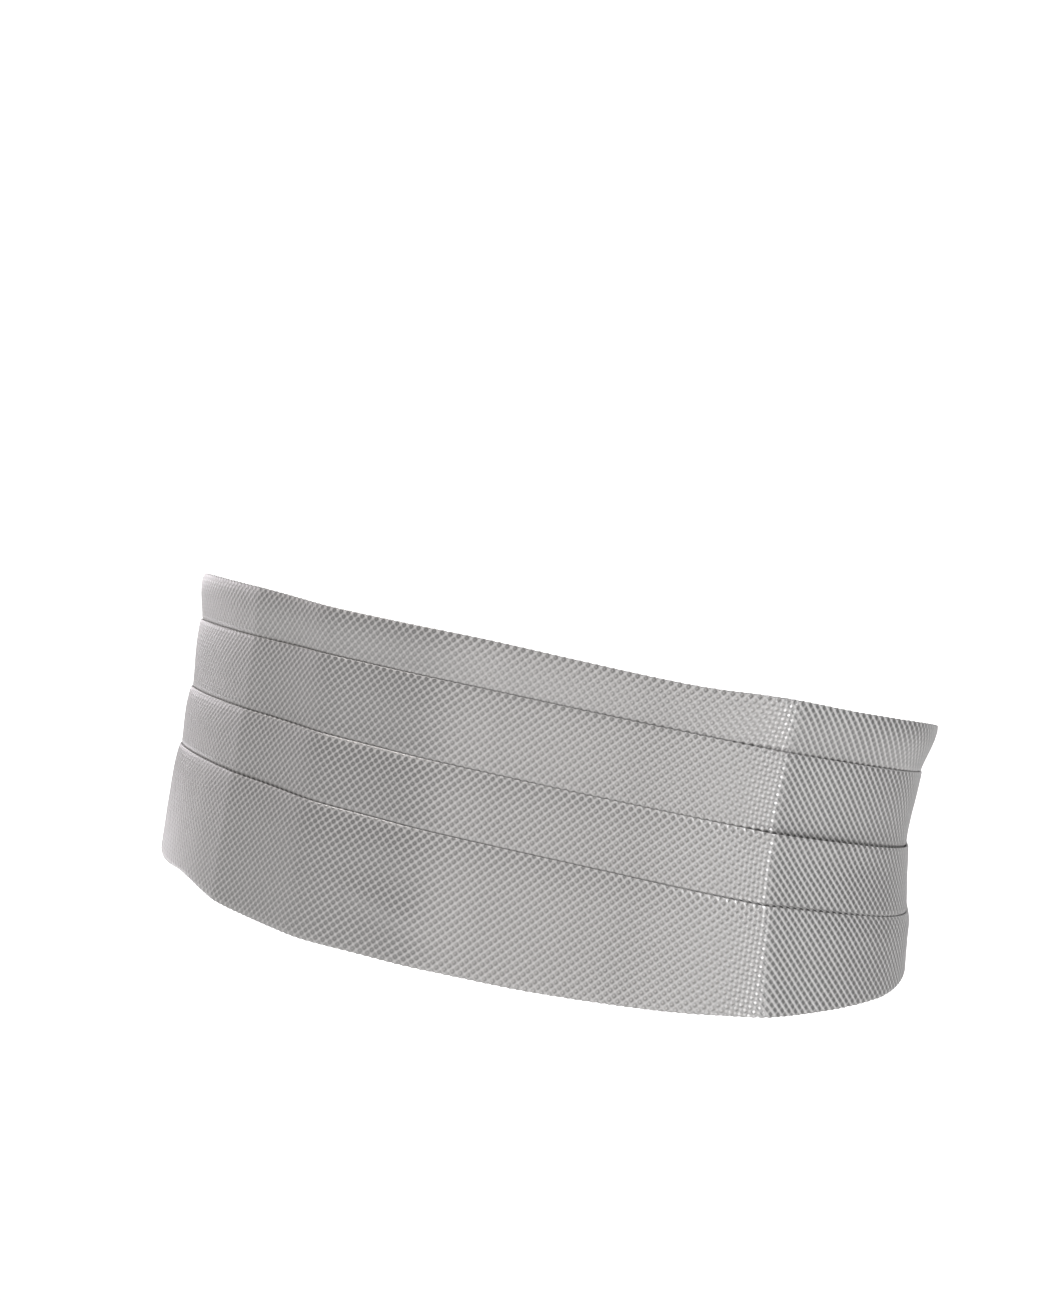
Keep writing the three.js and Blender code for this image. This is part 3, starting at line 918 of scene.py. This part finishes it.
def metal_finish():
    metal = Finish("brushed metal")
    place = metal.out(metal.add("ShaderNodeTexCoord"), "Object")
    brush = metal.noise(place, 1.0, 3.0, BRUSH_STRETCH)
    wear = metal.noise(place, WEAR_SCALE, 2.0)
    return metal.finish(
        Base_Color=metal.mix(brush, (0.5, 0.5, 0.505, 1), (0.66, 0.66, 0.665, 1)),
        Metallic=1.0,
        Roughness=0.26 + brush * 0.12 + wear * 0.08,
        Normal=metal.bump(brush, 0.00003, 0.35),
    )


clasp_metal = metal_finish()
clasp = as_piece(clasp_plate(), "clasp_plate", clasp_metal)
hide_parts("clasp")
print("clasp", len(clasp.data.polygons), "faces")

# %% [markdown]
# ## The cloth
#
# The folded panel and the two straps are sheets.

# %% [markdown]
# ## The stage, the light and the camera
#
# The sash is shown as it is worn, at waist height above a pale floor, before a white backdrop.
# The backdrop glows, so that it stays white whatever the lights do, and it is kept out of the
# reflections in the silk.

# %% Floor and backdrop
PALE = (0.9, 0.9, 0.9, 1)
FLOOR_LEVEL, FLOOR_HALF, FLOOR_GLOW = -1.3, 6.0, 0.3
BACKDROP_BEHIND, BACKDROP_HALF, BACKDROP_GLOW = 2.6, 4.0, 1.0


def plain_finish(name, colour, glow):
    paint = Finish(name)
    white = (1, 1, 1, 1)
    return paint.finish(
        Base_Color=colour, Roughness=0.9, Emission_Color=white, Emission_Strength=glow
    )


def stage_plane(name, half, place, turned_by, material):
    """A square plane of the stage, turned about the sideways axis."""
    bm = bmesh.new()
    bmesh.ops.create_grid(bm, x_segments=1, y_segments=1, size=half)
    bmesh.ops.rotate(bm, verts=bm.verts[:], matrix=Matrix.Rotation(turned_by, 3, "X"))
    bmesh.ops.translate(bm, verts=bm.verts[:], vec=place)
    plane = new_object(bm, name, material)
    return plane


floor_paint = plain_finish("pale floor", PALE, FLOOR_GLOW)
stage_plane("floor", FLOOR_HALF, (0, 0, FLOOR_LEVEL), 0, floor_paint)
backdrop_paint = plain_finish("white backdrop", PALE, BACKDROP_GLOW)
backdrop = stage_plane(
    "backdrop", BACKDROP_HALF, (0, BACKDROP_BEHIND, 0), math.pi / 2, backdrop_paint
)
backdrop.visible_glossy = False
print("floor", -FLOOR_LEVEL, "m below the waist, backdrop", BACKDROP_BEHIND, "m behind it")

# %% [markdown]
# The camera looks a little from the left, as the sash is worn, and leans over, which is why the
# pleats run down across the picture. Its place is given by an angle round the sash, a distance
# and a height, and its view by how far it pans, pitches and rolls from the level line to the sash.

# %% Camera
AZIMUTH, DISTANCE, CAMERA_HEIGHT = 0.261799, 634.573, 67.425  # radians and mm
PAN, PITCH, ROLL = -0.0254636, 0.0202616, 0.2002622  # radians
LENS, SENSOR = 43.03, 36
toward = Vector((-math.sin(AZIMUTH), math.cos(AZIMUTH), 0))
right = Vector((math.cos(AZIMUTH), math.sin(AZIMUTH), 0))
ahead = toward * math.cos(PAN) + right * math.sin(PAN)
sideways = right * math.cos(PAN) - toward * math.sin(PAN)
up = Vector((0, 0, 1))
look = ahead * math.cos(PITCH) - up * math.sin(PITCH)
above = ahead * math.sin(PITCH) + up * math.cos(PITCH)
image_right = sideways * math.cos(ROLL) + above * math.sin(ROLL)
image_up = above * math.cos(ROLL) - sideways * math.sin(ROLL)
camera_data = bpy.data.cameras.new("camera")
camera_data.lens, camera_data.sensor_width, camera_data.sensor_fit = LENS, SENSOR, "AUTO"
camera = bpy.data.objects.new("camera", camera_data)
turned = Matrix((image_right, image_up, -look)).transposed().to_4x4()
stand_at = (-toward * DISTANCE + up * CAMERA_HEIGHT) * MM
camera.matrix_world = Matrix.Translation(stand_at) @ turned
bpy.context.scene.collection.objects.link(camera)
bpy.context.scene.camera = camera
print("camera at", [round(v, 3) for v in stand_at], "m")

# %% [markdown]
# Large soft lights stand round the sash, because small ones would turn the glossy floats into
# sparks. Tall ones in front shape the folds, high ones light the bands from both sides, and weak
# ones at the left and right rims keep the turning edges from going dark. Their colours differ a
# little: cool on the right, warm in the middle and rosy on the left.

# %% Lights
WARM, COOL, ROSE = (1.0, 0.962, 0.935), (0.98, 0.99, 1.0), (1.0, 0.95, 1.0)
# Name, azimuth and elevation in degrees, width and height in metres, power in watts, colour
LIGHTS = [
    ("tall_right", 50, -7, 0.5, 1.5, 7.1, COOL),
    ("tall_middle", 15, -7, 0.5, 1.5, 2.9, WARM),
    ("tall_front", 0, -7, 0.5, 1.5, 0.6, WARM),
    ("high_right", 60, 50, 0.7, 0.7, 10.6, COOL),
    ("high_left", -60, 50, 0.7, 0.7, 9.7, WARM),
    ("left_side", -100, 10, 0.7, 0.7, 2.3, ROSE),
    ("left_rim", -125, 10, 0.7, 0.7, 4.0, ROSE),
    ("low_left_rim", -120, -22, 0.7, 0.7, 2.8, ROSE),
    ("right_rim", 150, 10, 0.7, 0.7, 0.4, COOL),
]
LIGHT_DISTANCE = 1.7
for name, azimuth, elevation, width, tall, power, colour in LIGHTS:
    a, e = math.radians(azimuth), math.radians(elevation)
    direction = Vector((math.sin(a) * math.cos(e), -math.cos(a) * math.cos(e), math.sin(e)))
    lamp = bpy.data.lights.new(name, "AREA")
    lamp.shape, lamp.size, lamp.size_y = "RECTANGLE", width, tall
    lamp.energy, lamp.color = power, colour
    light = bpy.data.objects.new(name, lamp)
    light.location = direction * LIGHT_DISTANCE
    light.rotation_mode = "QUATERNION"
    light.rotation_quaternion = direction.to_track_quat("Z", "Y")
    light.visible_camera = False
    bpy.context.scene.collection.objects.link(light)
print("lights", len(LIGHTS))

# %% The light of the room
ROOM_LIGHT = 0.25
surround = bpy.data.worlds.new("studio surround")
bpy.context.scene.world = surround
surround.use_nodes = True
room = surround.node_tree.nodes["Background"]
room.inputs["Color"].default_value = (1, 1, 1, 1)
room.inputs["Strength"].default_value = ROOM_LIGHT
bpy.context.scene.view_settings.view_transform = "Standard"
bpy.context.scene.view_settings.look = "None"
print("room light", ROOM_LIGHT)
